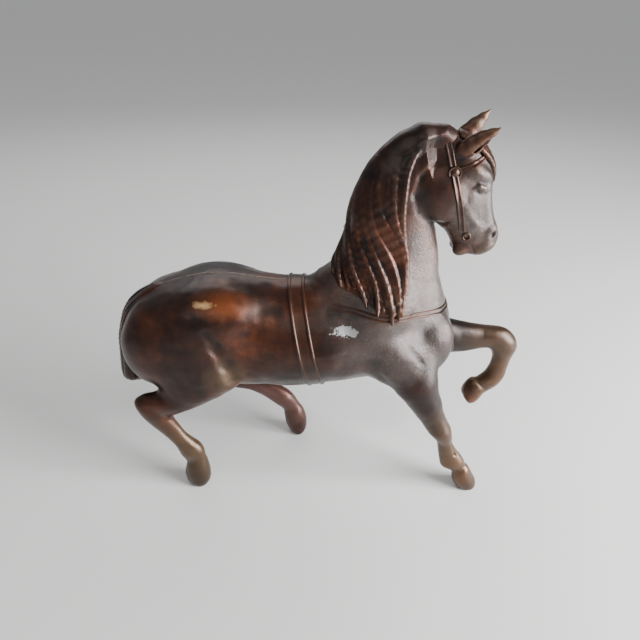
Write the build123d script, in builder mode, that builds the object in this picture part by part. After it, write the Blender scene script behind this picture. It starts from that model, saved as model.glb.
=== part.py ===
"""A cast horse statuette in a proud walk: hollow castings soldered together on the middle plane.

Frame: millimetres, +X to the horse's front, +Y to its left, +Z up. The origin is the middle of
the overall box's footprint, on the surface that the three standing hooves rest on.

Every rounded member is a loft through oval sections. A section is given by the two edges of the
member in the side view and by its half width across, so the tables below read like a profile.
"""

from build123d import *
import os
from math import atan2, cos, degrees, hypot, pi, sin

# Castings
WALL = 3.2  # thickness of the hollow shells
SECTION_POINTS = 16  # points in one oval section
SOLDER_RISE = 0.5  # height of the solder bead on the back
SOLDER_WIDTH = 2.0

# Mane and harness
MANE_RISE = 3.4  # thickness of the mane over the neck
FORELOCK_RISE = 2.6
STRAP_RISE = 1.2  # thickness of the bridle's straps
STRAP_WIDTH = 5.0
BAND_RISE = 0.8  # thickness of the girth between its rolled edges
CORD_RISE = 1.8  # thickness of the rolled edges and of the breast cords
CORD_WIDTH = 2.6
GIRTH_WIDTH = 10.5
BREAST_CORD_PITCH = 4.4  # between the two breast cords
ROSETTE_RADIUS = 4.0
RING_RADIUS = 3.4
RING_WIRE = 0.8

# Joining
DOWEL_RADIUS = 0.9
DOWEL_LENGTH = 8.0
LEG_PIN_RADIUS = 2.4
PLUG_RADIUS = 6.0
PLUG_X = 10
PLUG_BOTTOM_Z = 84.2
PLUG_LENGTH = 5.5
DOWEL_POINTS = [(-90, 167.4), (-40, 166.2), (-60, 87.3), (40, 90.2), (16, 205.0), (84, 155.0)]

# Torso, at planes across X: x, top z, bottom z, half width, how much the top narrows
TORSO = [
    (-139, 140, 112, 12, 0.00),
    (-135, 149, 103, 23, 0.00),
    (-129, 155.5, 97, 31, 0.00),
    (-118, 162, 91, 39, 0.02),
    (-103, 167, 88, 43, 0.03),
    (-78, 172, 86, 45, 0.02),
    (-53, 170, 85.5, 43, 0.04),
    (-28, 166.5, 84, 41, 0.06),
    (-3, 168.5, 84.5, 40, 0.16),
    (20, 172, 86.5, 38.5, 0.24),
    (42, 168, 88.5, 37, 0.22),
    (62, 160, 88, 34, 0.15),
    (78, 150, 88, 29, 0.08),
    (88, 141, 91, 22, 0.04),
    (95, 128, 101, 12, 0.00),
]

# Members in the side view: x and z of the rear edge, x and z of the front edge, half width, y
NECK = [
    (8, 138, 96, 109, 30, 0),
    (-2, 167, 93, 133, 29, 0),
    (5, 183, 87, 152, 26, 0),
    (12, 198, 80.5, 171, 22.5, 0),
    (15, 214, 78, 188, 20, 0),
    (20, 232, 75, 202, 18.5, 0),
    (31, 250, 73, 208.5, 17, 0),
    (45, 263, 71.5, 211.5, 15, 0),
    (60, 269, 70, 213, 14, 0),
]
HEAD = [
    (70, 213, 60, 269, 14, 0),
    (72, 212, 75, 271, 15, 0),
    (74.5, 210.5, 91, 266, 16, 0),
    (77, 208.5, 103, 255, 16, 0),
    (79, 207, 108.5, 240, 14.5, 0),
    (81, 205, 109.5, 227, 12.5, 0),
    (84.5, 199.5, 113.5, 213.5, 11, 0),
    (85.5, 194.5, 116.5, 204.5, 11, 0),
    (89, 189.5, 115.5, 198, 10, 0),
    (94.5, 186.5, 109, 191.5, 6.5, 0),
]
TAIL = [
    (-126, 163, -117, 152, 5, 0),
    (-138, 155, -125, 145, 8, 0),
    (-147.5, 140, -131, 134, 10, 0),
    (-152, 122, -134, 120, 11.5, 0),
    (-154, 100, -134, 100, 12, 0),
    (-153, 79, -134, 78, 10.5, 0),
]
FORELEG_RIGHT = [
    (36, 116, 84, 134, 12, -25),
    (47, 98, 80, 113, 12.5, -27),
    (57, 87, 82, 98, 11, -29),
    (65, 77, 86.5, 87, 9.6, -30),
    (73, 68, 91, 76, 8.6, -31),
    (79, 57.5, 97, 65, 7.8, -32),
    (84, 50, 99.5, 55.5, 7.6, -32),
    (90, 42.5, 102, 46.5, 5.6, -32),
    (93, 33, 106, 38, 5.0, -32),
    (96, 22, 113, 26, 6.4, -32),
    (102.5, 15, 118, 17, 5.8, -32),
    (105.5, 10, 121.5, 11, 7.6, -32.5),
    (109, 0, 126, 0, 8.8, -33),
]
FORELEG_LEFT = [
    (62, 104, 80, 138, 12, 19),
    (79, 94, 90, 127, 12.5, 21),
    (97, 92, 101, 122, 11.5, 22),
    (112, 93, 115, 119, 10, 23),
    (125, 95.5, 129, 116.5, 8.8, 23),
    (133, 96, 143, 114, 8.2, 23),
    (137, 93.5, 154.5, 104.5, 8.2, 23),
    (138.5, 89, 155.5, 94.5, 7.0, 23),
    (138, 81, 153, 81, 5.6, 23),
    (135.5, 71.5, 151.5, 68, 6.6, 23),
    (131, 66, 145, 56, 6.0, 23),
    (126.5, 64, 137, 52, 6.8, 23),
    (122.5, 61.5, 132, 46, 7.8, 23),
    (119.5, 56.5, 126.5, 41, 8.4, 23),
]
HINDLEG_RIGHT = [
    (-124, 122, -60, 128, 14, -26),
    (-120, 106, -62, 108, 15, -28),
    (-115, 98, -67, 93, 14, -29),
    (-116, 92, -82, 82, 11.5, -30),
    (-122, 88.5, -98, 74, 9.6, -31),
    (-129, 86.5, -108, 69.5, 8.6, -31),
    (-135, 80, -109.5, 66.5, 8.2, -31),
    (-131.5, 67, -106, 60, 7.4, -31),
    (-123, 56, -102, 51, 6.2, -31),
    (-115, 43.5, -93.5, 43, 5.6, -31),
    (-110, 34, -90.5, 34, 5.8, -31),
    (-104.5, 24, -87.5, 26, 6.8, -31),
    (-102.5, 17, -86.5, 18, 6.4, -31),
    (-103.5, 10, -86.5, 10, 7.8, -31.5),
    (-104, 0, -88, 0, 8.6, -32),
]
HINDLEG_LEFT = [
    (-118, 122, -56, 128, 14, 25),
    (-108, 104, -54, 106, 14, 27),
    (-97, 86, -60, 90, 11.5, 28.5),
    (-91, 70, -68, 76, 9.2, 30),
    (-88, 55.5, -70, 65, 8.2, 30),
    (-74, 51, -66, 61, 6.8, 30),
    (-60, 46.5, -56, 57, 5.4, 30),
    (-46, 40, -40, 52, 5.6, 30),
    (-34.5, 28.5, -23, 40, 6.8, 30),
    (-30.5, 21, -15.5, 28, 6.2, 30),
    (-27.5, 13, -12, 16, 7.8, 30.5),
    (-26, 0, -12, 0, 8.4, 31),
]

# The plane that parts each leg into outer and inner halves, and its pin: lower end, upper end
LEG_SPLIT = {"foreleg_right": -29.4, "foreleg_left": 21.3, "hindleg_right": -28.7, "hindleg_left": 27.7}
LEG_PIN = {
    "foreleg_right": ((68, 91), (64, 124)),
    "foreleg_left": ((116, 106), (76, 117)),
    "hindleg_right": ((-92, 86), (-92, 112)),
    "hindleg_left": ((-79, 76), (-84, 112)),
}

# Outlines in the side view
MANE_OUTLINE = [
    (16, 190), (14, 206), (16, 230), (28, 252), (42, 266), (56, 276), (80, 274), (78, 266), (60, 264),
    (48, 258), (47, 236), (52, 205), (56, 188), (55, 170), (52, 156), (42, 151), (36, 160), (28, 174),
]
FORELOCK_OUTLINE = [(84, 276), (100, 268), (112, 244), (104, 240), (94, 256), (84, 266)]

# Harness lines in the side view, from the upper end to the lower end
GIRTH_LINE = ((-18, 185), (-0.5, 75))
CHEEK_LINE = ((69, 278), (93.5, 207))
BROW_LINE = ((80, 247), (120, 256))
BREAST_LINE = ((-14, 167), (100, 150))


def oval_ring(plane, half_width, half_height, narrow=0.0):
    """Points round an oval on a plane; its top half may be narrower than its bottom half."""
    ring = []
    for i in range(SECTION_POINTS):
        turn = 2 * pi * (i + 0.5) / SECTION_POINTS
        rise = sin(turn)
        across = cos(turn) * (1 - narrow * max(rise, 0.0))
        ring.append(plane.from_local_coords(Vector(half_width * across, half_height * rise, 0)))
    return ring


def faceted(rings):
    """A closed solid of flat triangles through rings that have the same number of points."""
    faces = [Face(Wire.make_polygon(ring)) for ring in (rings[0], rings[-1])]
    for ring, following in zip(rings, rings[1:]):
        for i in range(SECTION_POINTS):
            k = (i + 1) % SECTION_POINTS
            faces.append(Face(Wire.make_polygon([ring[i], ring[k], following[k]])))
            faces.append(Face(Wire.make_polygon([ring[i], following[k], following[i]])))
    with BuildPart() as solid:
        add(Solid(Shell(faces)))
    return solid.part


def torso_solid(grow=0.0, stations=TORSO):
    """The barrel, rump and chest, with every section made larger or smaller by grow."""
    rings = []
    for x, top, bottom, half_width, narrow in stations:
        plane = Plane(origin=(x, 0, (top + bottom) / 2), x_dir=(0, 1, 0), z_dir=(1, 0, 0))
        rings.append(oval_ring(plane, half_width + grow, (top - bottom) / 2 + grow, narrow))
    return faceted(rings)


def member_solid(stations, grow=0.0):
    """A neck, head, leg or tail: ovals that span the edges in the side view, joined up."""
    rings = []
    for rear_x, rear_z, front_x, front_z, half_width, y in stations:
        rear, front = Vector(rear_x, y, rear_z), Vector(front_x, y, front_z)
        along = Vector(0, 1, 0).cross((front - rear).normalized())
        plane = Plane(origin=(rear + front) / 2, x_dir=(0, 1, 0), z_dir=along)
        rings.append(oval_ring(plane, half_width + grow, (front - rear).length / 2 + grow))
    return faceted(rings)


def fused(*solids):
    """Several overlapping solids as one."""
    with BuildPart() as whole:
        for solid in solids:
            add(solid)
    return whole.part


def cut(solid, *tools):
    """A solid less the given tools."""
    with BuildPart() as rest:
        add(solid)
        for tool in tools:
            add(tool, mode=Mode.SUBTRACT)
    return rest.part


def common(solid, *tools):
    """What a solid shares with every one of the tools."""
    with BuildPart() as shared:
        add(solid)
        for tool in tools:
            add(tool, mode=Mode.INTERSECT)
    return shared.part


def half(solid, y=0.0, left=True):
    """The part of a solid on one side of a plane across Y."""
    with BuildPart() as side:
        add(solid)
        split(bisect_by=Plane.XZ.offset(-y), keep=Keep.BOTTOM if left else Keep.TOP)
    return side.part


def side_prism(outline, y_from, y_to):
    """An outline of the side view, extruded across between two values of Y."""
    with BuildPart() as prism:
        with BuildSketch(Plane.XZ.offset(-y_from)):
            with BuildLine():
                Polyline(*outline, close=True)
            make_face()
        extrude(amount=y_from - y_to)
    return prism.part


def side_slab(line, width, shift=0.0):
    """A slab across the whole width that follows a straight line of the side view."""
    (x0, z0), (x1, z1) = line
    turn = degrees(atan2(x1 - x0, z1 - z0))
    with BuildPart() as slab:
        with Locations(Location(((x0 + x1) / 2, 0, (z0 + z1) / 2), (0, turn, 0))):
            with Locations((shift, 0, 0)):
                Box(width, 160, hypot(x1 - x0, z1 - z0))
    return slab.part


def side_pin(line, y, radius):
    """A round pin between two points of the side view."""
    (x0, z0), (x1, z1) = line
    with BuildPart() as pin:
        with BuildSketch(Plane(origin=(x0, y, z0), z_dir=(x1 - x0, 0, z1 - z0))):
            Circle(radius)
        extrude(amount=hypot(x1 - x0, z1 - z0))
    return pin.part


def hung_on(outer, grown, *cutters):
    """A strap or lock: the layer between a grown surface and the body inside the cutters."""
    return cut(common(grown, *cutters), outer)


def side_layer(outer, grown, y_sign, *cutters):
    """The same layer, kept only on one side of the middle plane."""
    return half(hung_on(outer, grown, *cutters), 0.0, left=y_sign > 0)


def rosette(y_sign):
    """A domed disc on the cheek strap below the ear."""
    with BuildPart() as disc:
        with BuildSketch(Plane(origin=(80, 11 * y_sign, 247), z_dir=(0, y_sign, 0))):
            Circle(ROSETTE_RADIUS)
        extrude(amount=8.2)
        chamfer(disc.faces().sort_by(Axis.Y)[0 if y_sign < 0 else -1].edges(), 1.0)
    return disc.part


def bit_ring(y_sign):
    """A ring hanging against the lip from the lower end of the cheek strap."""
    with BuildPart() as ring:
        with Locations(Location((94.5, 14.2 * y_sign, 203.5), (90, 0, 0))):
            Torus(RING_RADIUS, RING_WIRE)
    return ring.part


def ear(y_sign, tip_z):
    """A pointed ear, wide at its base."""
    rings = []
    for t, half_width, half_depth in ((0.0, 4.6, 5.6), (0.35, 4.4, 5.2), (0.7, 2.8, 3.4), (1.0, 0.5, 0.6)):
        centre = Vector(82, 7 * y_sign, 257) * (1 - t) + Vector(102, 13 * y_sign, tip_z) * t
        plane = Plane(origin=centre, x_dir=(0, 1, 0), z_dir=(0.75, 0, 0.66))
        rings.append(oval_ring(plane, half_width, half_depth))
    return faceted(rings)


# Outer bodies and what lies inside them
core = fused(torso_solid(), member_solid(NECK))
core_cavity = fused(torso_solid(-WALL, TORSO[1:-1]), member_solid(NECK[:-1], -WALL))
head = member_solid(HEAD)
head_cavity = member_solid(HEAD[1:8], -WALL)
horse = fused(core, head)

# Grown surfaces that the harness and the mane follow
core_band = fused(torso_solid(BAND_RISE), member_solid(NECK, BAND_RISE))
core_cord = fused(torso_solid(CORD_RISE), member_solid(NECK, CORD_RISE))
core_mane = fused(torso_solid(MANE_RISE), member_solid(NECK, MANE_RISE))
core_solder = torso_solid(SOLDER_RISE)
head_strap = member_solid(HEAD, STRAP_RISE)
head_lock = member_solid(HEAD, FORELOCK_RISE)

# What joins the castings
legs = {
    "foreleg_right": member_solid(FORELEG_RIGHT),
    "foreleg_left": member_solid(FORELEG_LEFT),
    "hindleg_right": member_solid(HINDLEG_RIGHT),
    "hindleg_left": member_solid(HINDLEG_LEFT),
}
pins = {name: side_pin(LEG_PIN[name], LEG_SPLIT[name], LEG_PIN_RADIUS) for name in legs}
with BuildPart() as dowels:
    for x, z in DOWEL_POINTS:
        with Locations(Location((x, 0, z), (90, 0, 0))):
            Cylinder(DOWEL_RADIUS, DOWEL_LENGTH)
with BuildPart() as plug_tool:
    with BuildSketch(Plane.XY.offset(PLUG_BOTTOM_Z)):
        with Locations((PLUG_X, 0)):
            Circle(PLUG_RADIUS)
    extrude(amount=PLUG_LENGTH)

pieces = {}

# Body and head shells
body_shell = cut(core, core_cavity, plug_tool.part, dowels.part, *pins.values())
head_shell = cut(head, head_cavity)
for side in ("right", "left"):
    pieces[f"body_shell_{side}"] = half(body_shell, left=side == "left")
    pieces[f"head_shell_{side}"] = half(head_shell, left=side == "left")
pieces["belly_plug"] = plug_tool.part
pieces["shell_dowels"] = dowels.part

# Legs in halves, each on its pin
for name, leg in legs.items():
    casting = cut(leg, core, pins[name])
    outer_is_left = name.endswith("left")
    pieces[f"{name}_outer"] = half(casting, LEG_SPLIT[name], left=outer_is_left)
    pieces[f"{name}_inner"] = half(casting, LEG_SPLIT[name], left=not outer_is_left)
    pieces[f"leg_pin_{name}"] = pins[name]

# Tail, mane and ears
pieces["tail"] = cut(member_solid(TAIL), core)
forelock_prism = side_prism(FORELOCK_OUTLINE, -7, 7)
forelock = hung_on(horse, head_lock, forelock_prism)
mane = cut(hung_on(core, core_mane, side_prism(MANE_OUTLINE, -60, 3.5)), head, forelock)
pieces["mane"] = mane
pieces["forelock"] = forelock
ears = {"right": cut(ear(-1, 272.5), head, mane, forelock), "left": cut(ear(1, 277.5), head, mane, forelock)}

# Bridle
cheek_slab = side_slab(CHEEK_LINE, STRAP_WIDTH)
brow_slab = side_slab(BROW_LINE, STRAP_WIDTH - 1)
for side, y_sign in (("right", -1), ("left", 1)):
    disc = cut(rosette(y_sign), head)
    ring = cut(bit_ring(y_sign), head)
    strap = cut(side_layer(horse, head_strap, y_sign, cheek_slab), disc, ring, ears[side], mane, forelock)
    pieces[f"ear_{side}"] = cut(ears[side], disc)
    pieces[f"rosette_{side}"] = disc
    pieces[f"bit_ring_{side}"] = ring
    pieces[f"cheek_strap_{side}"] = strap
crown = [pieces[f"{part}_{side}"] for part in ("rosette", "cheek_strap", "ear") for side in ("right", "left")]
pieces["browband"] = cut(hung_on(horse, head_strap, brow_slab), mane, forelock, *crown)

# Girth and breast cords
edge = (GIRTH_WIDTH - CORD_WIDTH) / 2
girth_slab = side_slab(GIRTH_LINE, GIRTH_WIDTH - 2 * CORD_WIDTH)
front_slab = side_slab(GIRTH_LINE, CORD_WIDTH, edge)
rear_slab = side_slab(GIRTH_LINE, CORD_WIDTH, -edge)
pieces["girth_band"] = hung_on(core, core_band, girth_slab)
pieces["girth_front_cord"] = cut(hung_on(core, core_cord, front_slab), mane)
pieces["girth_rear_cord"] = hung_on(core, core_cord, rear_slab)
behind_girth = side_prism([(-60, 60), (3, 60), (GIRTH_LINE[0][0] + 6, 200), (-60, 200)], -60, 60)
for name, shift in (("breast_cord_upper", -0.5), ("breast_cord_lower", 0.5)):
    slab = side_slab(BREAST_LINE, CORD_WIDTH, -shift * BREAST_CORD_PITCH)
    loop = cut(hung_on(core, core_cord, slab), behind_girth, mane, pieces["girth_front_cord"])
    pieces[name] = loop

# Solder along the back, from the tail to the girth
solder_box = side_prism([(-120, 150), (-22, 150), (-22, 190), (-120, 190)], -SOLDER_WIDTH / 2, SOLDER_WIDTH / 2)
pieces["spine_seam"] = cut(hung_on(core, core_solder, solder_box), pieces["tail"], pieces["girth_rear_cord"])

# Placed on the middle of the overall footprint, and written out
boxes = [piece.bounding_box() for piece in pieces.values()]
low = Vector(*(min(getattr(box.min, axis) for box in boxes) for axis in "XYZ"))
high = Vector(*(max(getattr(box.max, axis) for box in boxes) for axis in "XYZ"))
to_origin = Location((-(low.X + high.X) / 2, -(low.Y + high.Y) / 2, -low.Z))
print("offset to the origin:", to_origin.position, "overall size:", high - low)
os.makedirs("parts", exist_ok=True)
for name, piece in pieces.items():
    placed = piece.moved(to_origin)
    placed.label = name
    export_step(placed, f"parts/{name}.step")
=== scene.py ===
"""Looks of the cast horse statuette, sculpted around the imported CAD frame.

The castings are sculpted as one signed distance field in millimetres, in the frame of the horse's
side view: +X forward, +Y to its left, +Z up. Each region of it is turned into a mesh and cut into
the same pieces as the castings. Harness, mane locks and small fittings lie on that surface.
"""

import math
import random

import bmesh
import bpy
import numpy as np
import openvdb
from mathutils import Matrix, Vector
from mathutils.bvhtree import BVHTree


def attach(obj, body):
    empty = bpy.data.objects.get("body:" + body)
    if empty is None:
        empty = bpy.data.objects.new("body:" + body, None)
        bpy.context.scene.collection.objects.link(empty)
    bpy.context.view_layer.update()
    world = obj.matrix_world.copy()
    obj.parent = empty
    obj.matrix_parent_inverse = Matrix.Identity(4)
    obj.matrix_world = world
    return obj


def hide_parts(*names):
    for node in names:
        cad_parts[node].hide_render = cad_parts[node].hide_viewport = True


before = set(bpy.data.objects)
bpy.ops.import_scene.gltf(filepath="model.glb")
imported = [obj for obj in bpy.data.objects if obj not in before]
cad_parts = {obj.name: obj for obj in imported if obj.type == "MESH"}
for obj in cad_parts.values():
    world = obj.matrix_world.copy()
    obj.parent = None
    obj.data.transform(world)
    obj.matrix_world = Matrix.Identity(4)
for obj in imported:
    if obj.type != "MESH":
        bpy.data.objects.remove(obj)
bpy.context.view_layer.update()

MM = 0.001
SHIFT_X = -0.76  # from the sculpting frame to the CAD frame, along X, in millimetres
FAR = 40.0  # field value away from any surface
LUMPS = ((11.0, 0.30), (5.5, 0.20))  # size of the castings' lumps, and how far they reach
LUMP_FROM, LUMP_SPAN = (-170, -60, -10), (340, 120, 300)


# ---------------------------------------------------------------- the sculpting clay


def smooth_min(a, b, k):
    """Union of two fields with a fillet of about k millimetres."""
    h = np.clip(0.5 + 0.5 * (b - a) / k, 0.0, 1.0)
    return b * (1 - h) + a * h - k * h * (1 - h)


def refine(rows, steps):
    """A table of stations with extra rows on a Catmull-Rom curve."""
    rows = np.array(rows, dtype=float)
    out = [rows[0]]
    last = len(rows) - 1
    for i in range(last):
        p0, p1, p2, p3 = (rows[max(0, min(last, k))] for k in (i - 1, i, i + 1, i + 2))
        for step in range(1, steps + 1):
            t = step / steps
            bend = (2 * p0 - 5 * p1 + 4 * p2 - p3) * t * t + (3 * p1 - p0 - 3 * p2 + p3) * t**3
            out.append(p1 + ((p2 - p0) * t + bend) / 2)
    return out


class Clay:
    """A signed distance field on a box of voxels, negative inside the object."""

    def __init__(self, low, high, step):
        self.step = step
        self.low = np.array(low, dtype=float)
        self.count = np.ceil((np.array(high, dtype=float) - self.low) / step).astype(int) + 1
        self.d = np.full(self.count, FAR, dtype=np.float32)

    def window(self, low, high, within=None):
        """Slices and open coordinate arrays of the voxels between two corners, or None."""
        within = within or [slice(0, size) for size in self.count]
        first = np.floor((np.array(low) - self.low) / self.step).astype(int)
        first = np.maximum(first, [s.start for s in within])
        last = np.ceil((np.array(high) - self.low) / self.step).astype(int) + 1
        last = np.minimum(last, [s.stop for s in within])
        if np.any(last - first < 2):
            return None
        slices = tuple(slice(a, b) for a, b in zip(first, last))
        axes = [(self.low[i] + self.step * np.arange(first[i], last[i])).astype(np.float32) for i in range(3)]
        return slices, axes[0][:, None, None], axes[1][None, :, None], axes[2][None, None, :]

    def join(self, slices, field, k):
        """Adds a field with a fillet, or cuts it away when k is negative."""
        if k > 0:
            self.d[slices] = smooth_min(self.d[slices], field, k)
        else:
            self.d[slices] = -smooth_min(-self.d[slices], field, -k)

    def blob(self, centre, radii, k=5.0, turn=0.0, yaw=0.0):
        """An ellipsoid, turned in the side view and then about Z, both in degrees."""
        reach = max(radii) + abs(k) + 2
        found = self.window(np.array(centre) - reach, np.array(centre) + reach)
        if found is None:
            return
        slices, x, y, z = found
        x, y, z = x - centre[0], y - centre[1], z - centre[2]
        c, s = math.cos(math.radians(yaw)), math.sin(math.radians(yaw))
        x, y = c * x + s * y, c * y - s * x
        c, s = math.cos(math.radians(turn)), math.sin(math.radians(turn))
        x, z = c * x + s * z, c * z - s * x
        k0 = np.sqrt((x / radii[0]) ** 2 + (y / radii[1]) ** 2 + (z / radii[2]) ** 2)
        k1 = np.sqrt((x / radii[0] ** 2) ** 2 + (y / radii[1] ** 2) ** 2 + (z / radii[2] ** 2) ** 2)
        self.join(slices, k0 * (k0 - 1) / np.maximum(k1, 1e-6), k)

    def limb(self, start, end, r0, r1, k=4.0, flat=1.0):
        """A rounded tapering rod; flat squeezes it across."""
        a, b = np.array(start, dtype=float), np.array(end, dtype=float)
        reach = max(r0, r1) / min(flat, 1.0) + abs(k) + 1
        found = self.window(np.minimum(a, b) - reach, np.maximum(a, b) + reach)
        if found is None:
            return
        slices, x, y, z = found
        x, y, z = x - a[0], (y - a[1]) / flat, z - a[2]
        w = b - a
        w[1] /= flat
        t = np.clip((x * w[0] + y * w[1] + z * w[2]) / max(w @ w, 1e-9), 0.0, 1.0)
        away = np.sqrt((x - t * w[0]) ** 2 + (y - t * w[1]) ** 2 + (z - t * w[2]) ** 2)
        self.join(slices, away - (r0 + (r1 - r0) * t), k)

    def chain(self, points, radii, k=4.0, flat=1.0):
        """Limbs through a list of points."""
        for i in range(len(points) - 1):
            self.limb(points[i], points[i + 1], radii[i], radii[i + 1], k, flat)

    def loft(self, stations, k=6.0, steps=3, margin=13.0):
        """Ovals across the side view: rear x, z, front x, z, half width, y, narrowing, squareness."""
        rows = refine([tuple(row) + (0.0, 2.0)[len(row) - 6 :] for row in stations], steps)
        ovals = []
        for row in rows:
            rear, front = row[0:2], row[2:4]
            up = (front - rear) / 2
            half = np.linalg.norm(up)
            up = up / half
            normal = np.array([up[1], -up[0]])
            ovals.append([rear / 2 + front / 2, up, half, *row[4:8], normal])
        for i, oval in enumerate(ovals):
            before, after = ovals[max(i - 1, 0)][0], ovals[min(i + 1, len(ovals) - 1)][0]
            if oval[7] @ (after - before) < 0:
                oval[7] = -oval[7]
        low = np.array([np.inf] * 3)
        high = -low
        for centre, up, half, width, y, *_ in ovals:
            reach = np.array([abs(up[0]) * half, width, abs(up[1]) * half]) + margin
            middle = np.array([centre[0], y, centre[1]])
            low, high = np.minimum(low, middle - reach), np.maximum(high, middle + reach)
        found = self.window(low, high)
        if found is None:
            return
        slices, xs, ys, zs = found
        member = np.full([s.stop - s.start for s in slices], FAR, dtype=np.float32)
        last = len(ovals) - 2
        for i in range(last + 1):
            self.loft_span(member, slices, ovals[i], ovals[i + 1], i == 0, i == last, margin)
        self.join(slices, member, k)

    def loft_span(self, member, slices, one, two, is_first, is_last, margin):
        """The wedge of a loft between two ovals, into the member's own array."""
        corners = []
        for centre, up, half, *_ in (one, two):
            corners += [centre + up * (half + margin), centre - up * (half + margin)]
        normal = one[7]
        if is_first:
            corners += [point - normal * margin for point in corners[:2]]
        if is_last:
            corners += [point + two[7] * margin for point in corners[2:4]]
        flat_low, flat_high = np.min(corners, axis=0), np.max(corners, axis=0)
        width = max(one[3], two[3]) + margin
        y_low, y_high = min(one[4], two[4]) - width, max(one[4], two[4]) + width
        found = self.window((flat_low[0], y_low, flat_low[1]), (flat_high[0], y_high, flat_high[1]), slices)
        if found is None:
            return
        inner, x, y, z = found
        shift = tuple(slice(a.start - b.start, a.stop - b.start) for a, b in zip(inner, slices))
        before = (x - one[0][0]) * one[7][0] + (z - one[0][1]) * one[7][1]
        after = (x - two[0][0]) * two[7][0] + (z - two[0][1]) * two[7][1]
        span = before - after
        t = np.clip(before / np.where(np.abs(span) < 1e-6, 1e-6, span), 0.0, 1.0)
        part = [one[i] + (two[i] - one[i]) * t for i in range(2, 7)]
        half, width, y0, narrow, square = part
        cx = one[0][0] + (two[0][0] - one[0][0]) * t
        cz = one[0][1] + (two[0][1] - one[0][1]) * t
        ux = one[1][0] + (two[1][0] - one[1][0]) * t
        uz = one[1][1] + (two[1][1] - one[1][1]) * t
        size = np.sqrt(ux * ux + uz * uz)
        v = ((x - cx) * ux + (z - cz) * uz) / size / half
        width = width * (1 - narrow * np.clip(v, 0.0, 1.0))
        u = (y - y0) / width
        au, av = np.abs(u) + 1e-4, np.abs(v) + 1e-4
        r = (au**square + av**square) ** (1 / square)
        slope = np.sqrt((au ** (square - 1) / width) ** 2 + (av ** (square - 1) / half) ** 2)
        slope = r ** (1 - square) * slope
        field = (r - 1) / np.maximum(slope, 1e-3)
        inside = (before >= 0) & (after < 0)
        if is_first:
            field = np.where(before >= 0, np.maximum(field, -before), np.hypot(np.maximum(field, 0), before))
            inside = inside | ((before < 0) & (before > -margin))
        if is_last:
            field = np.where(after < 0, np.maximum(field, after), np.hypot(np.maximum(field, 0), after))
            inside = inside | ((after >= 0) & (after < margin))
        target = member[shift]
        target[:] = np.where(inside, np.minimum(target, field), target)

    def soften(self, reach=2.4):
        """Averages the field over a box, to read the relief of the surface from."""
        wide = int(round(reach / self.step))
        self.soft = np.clip(self.d, -6, 6)
        self.reach = wide * self.step
        for axis, size in enumerate(self.count):
            total = np.cumsum(self.soft, axis=axis, dtype=np.float64)
            ahead = np.take(total, np.minimum(np.arange(size) + wide, size - 1), axis=axis)
            behind = np.take(total, np.maximum(np.arange(size) - wide - 1, 0), axis=axis)
            self.soft = ((ahead - behind) / (2 * wide + 1)).astype(np.float32)

    def relief(self, points):
        """Twice the mean curvature near points in millimetres, positive on ridges."""
        place = (points - self.low) / self.step
        corner = np.clip(np.floor(place).astype(int), 0, self.count - 2)
        share = place - corner
        value = np.zeros(len(points))
        for i in range(8):
            step = np.array([i >> 2 & 1, i >> 1 & 1, i & 1])
            weight = np.prod(np.where(step, share, 1 - share), axis=1)
            value += weight * self.soft[tuple((corner + step).T)]
        return value * 6 / self.reach**2

    def unevenness(self):
        """Lumps of a fraction of a millimetre, as on hand-finished castings; none near the ground."""
        axes = [self.low[i] + self.step * np.arange(self.count[i]) for i in range(3)]
        lumps = 0
        for cell, amount in LUMPS:
            chance = np.random.default_rng(int(cell * 10))
            lattice = chance.uniform(-amount, amount, [int(size / cell) + 3 for size in LUMP_SPAN])
            for axis in (0, 1, 2):
                place = (axes[axis] - LUMP_FROM[axis]) / cell
                first = np.floor(place).astype(int)
                share = place - first
                share = share * share * (3 - 2 * share)
                shares = [1, 1, 1]
                shares[axis] = len(share)
                share = share.reshape(shares)
                before, after = (np.take(lattice, index, axis=axis) for index in (first, first + 1))
                lattice = before * (1 - share) + after * share
            lumps = lumps + lattice
        return lumps * np.clip((axes[2] - 1) / 6, 0, 1)

    def faces(self):
        """Points in millimetres and faces of the zero surface."""
        grid = openvdb.FloatGrid(3.0 * self.step)
        grid.copyFromArray(np.ascontiguousarray((self.d + self.unevenness()).astype(np.float32)))
        points, triangles, quads = grid.convertToPolygons(isovalue=0.0, adaptivity=0.0)
        return points * self.step + self.low, triangles, quads


# ---------------------------------------------------------------- the horse's stations

# x, top z, bottom z, half width, how much the top narrows, how square the section is
TORSO = [
    (-142, 128, 104, 6, 0.00, 2.0),
    (-140, 138, 95, 12.5, 0.00, 2.1),
    (-135, 147.5, 89, 21.5, 0.00, 2.2),
    (-127.5, 154, 87, 30, 0.02, 2.3),
    (-116, 160.5, 88, 37, 0.04, 2.4),
    (-100, 166, 89, 40, 0.05, 2.5),
    (-80, 171, 88.5, 41.5, 0.05, 2.5),
    (-60, 170.5, 87.5, 40.5, 0.08, 2.4),
    (-42, 168, 86, 40, 0.12, 2.2),
    (-24, 166, 85, 40.5, 0.14, 2.15),
    (-5, 167, 86, 40.5, 0.20, 2.1),
    (15, 170, 89, 39, 0.26, 2.1),
    (35, 167, 92, 36, 0.28, 2.1),
    (55, 157, 94, 32.5, 0.30, 2.1),
    (70, 145, 94, 29, 0.26, 2.1),
    (84, 134, 96, 23, 0.10, 2.0),
    (92.5, 126, 101, 14, 0.00, 2.0),
    (96.5, 119, 107, 6, 0.00, 2.0),
]
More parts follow.
